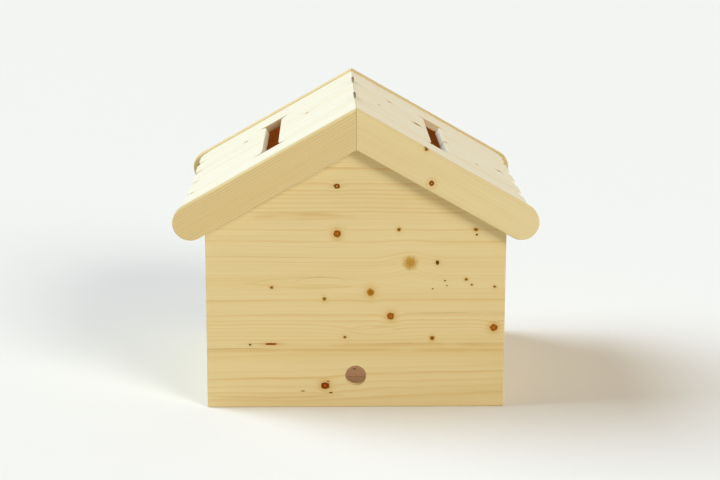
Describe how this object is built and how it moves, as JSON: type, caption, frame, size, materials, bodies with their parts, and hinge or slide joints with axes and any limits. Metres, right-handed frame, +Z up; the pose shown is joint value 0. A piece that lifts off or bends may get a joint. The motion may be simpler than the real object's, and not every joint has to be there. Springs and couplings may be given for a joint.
{
  "type": "dog house",
  "caption": "Small wooden dog house with arched doorway, cord hole in the back gable and a boarded gable roof of two leaves hinged at the ridge that lifts off",
  "frame": {"origin": "on the ground under the middle of the house, bottom centre of the bounding box", "axes": "+X across the gables to the right of someone who looks at the back gable, +Y from the back gable with the cord hole to the front gable with the doorway, +Z up"},
  "size_m": [0.6404, 0.554, 0.5449],
  "materials": {
    "panel_pine": "planed knotty pine, thin clear coat, grain across the panel",
    "wall_pine": "planed knotty pine, thin clear coat",
    "floor_pine": "planed pine boards",
    "batten_pine": "sawn and planed pine",
    "roof_pine": "planed pale pine boards, grain down the slope",
    "barge_pine": "planed pine, straight grain along the board",
    "dowel_beech": "turned hardwood dowel",
    "hinge_steel": "zinc plated steel with a dull yellow cast",
    "screw_steel": "zinc plated steel"
  },
  "bodies": {
    "house": {"back_panel": "panel_pine", "front_panel": "panel_pine", "left_wall": "wall_pine", "right_wall": "wall_pine", "floor_board_1": "floor_pine", "floor_board_2": "floor_pine", "floor_board_3": "floor_pine", "floor_board_4": "floor_pine", "floor_board_5": "floor_pine", "left_runner": "batten_pine", "middle_runner": "batten_pine", "right_runner": "batten_pine", "left_back_post": "batten_pine", "right_back_post": "batten_pine", "left_front_post": "batten_pine", "right_front_post": "batten_pine", "post_screws": "screw_steel", "floor_screws": "screw_steel"},
    "roof_left": {"left_board_1": "roof_pine", "left_board_2_upper": "roof_pine", "left_board_2_lower": "roof_pine", "left_board_3_upper": "roof_pine", "left_board_3_lower": "roof_pine", "left_board_4_upper": "roof_pine", "left_board_4_lower": "roof_pine", "left_board_5": "roof_pine", "left_barge_back": "barge_pine", "left_barge_front": "barge_pine", "left_barge_dowels": "dowel_beech", "left_upper_batten": "batten_pine", "left_lower_batten": "batten_pine", "left_batten_screws": "screw_steel", "left_hinge_leaves": "hinge_steel", "left_hinge_screws": "screw_steel", "hinge_pins": "hinge_steel"},
    "roof_right": {"right_board_1": "roof_pine", "right_board_2_upper": "roof_pine", "right_board_2_lower": "roof_pine", "right_board_3_upper": "roof_pine", "right_board_3_lower": "roof_pine", "right_board_4_upper": "roof_pine", "right_board_4_lower": "roof_pine", "right_board_5": "roof_pine", "right_barge_back": "barge_pine", "right_barge_front": "barge_pine", "right_barge_dowels": "dowel_beech", "right_upper_batten": "batten_pine", "right_lower_batten": "batten_pine", "right_batten_screws": "screw_steel", "right_hinge_leaves": "hinge_steel", "right_hinge_screws": "screw_steel"}
  },
  "joints": [
    {"name": "roof_lift", "type": "slide", "parent": "house", "child": "roof_left", "axis": [0, 0, 1], "range_m": [0, 0.25]},
    {"name": "ridge_hinge", "type": "hinge", "parent": "roof_left", "child": "roof_right", "pos_m": [0, 0, 0.54229], "axis": [0, -1, 0], "range_deg": [0, 235]}
  ]
}
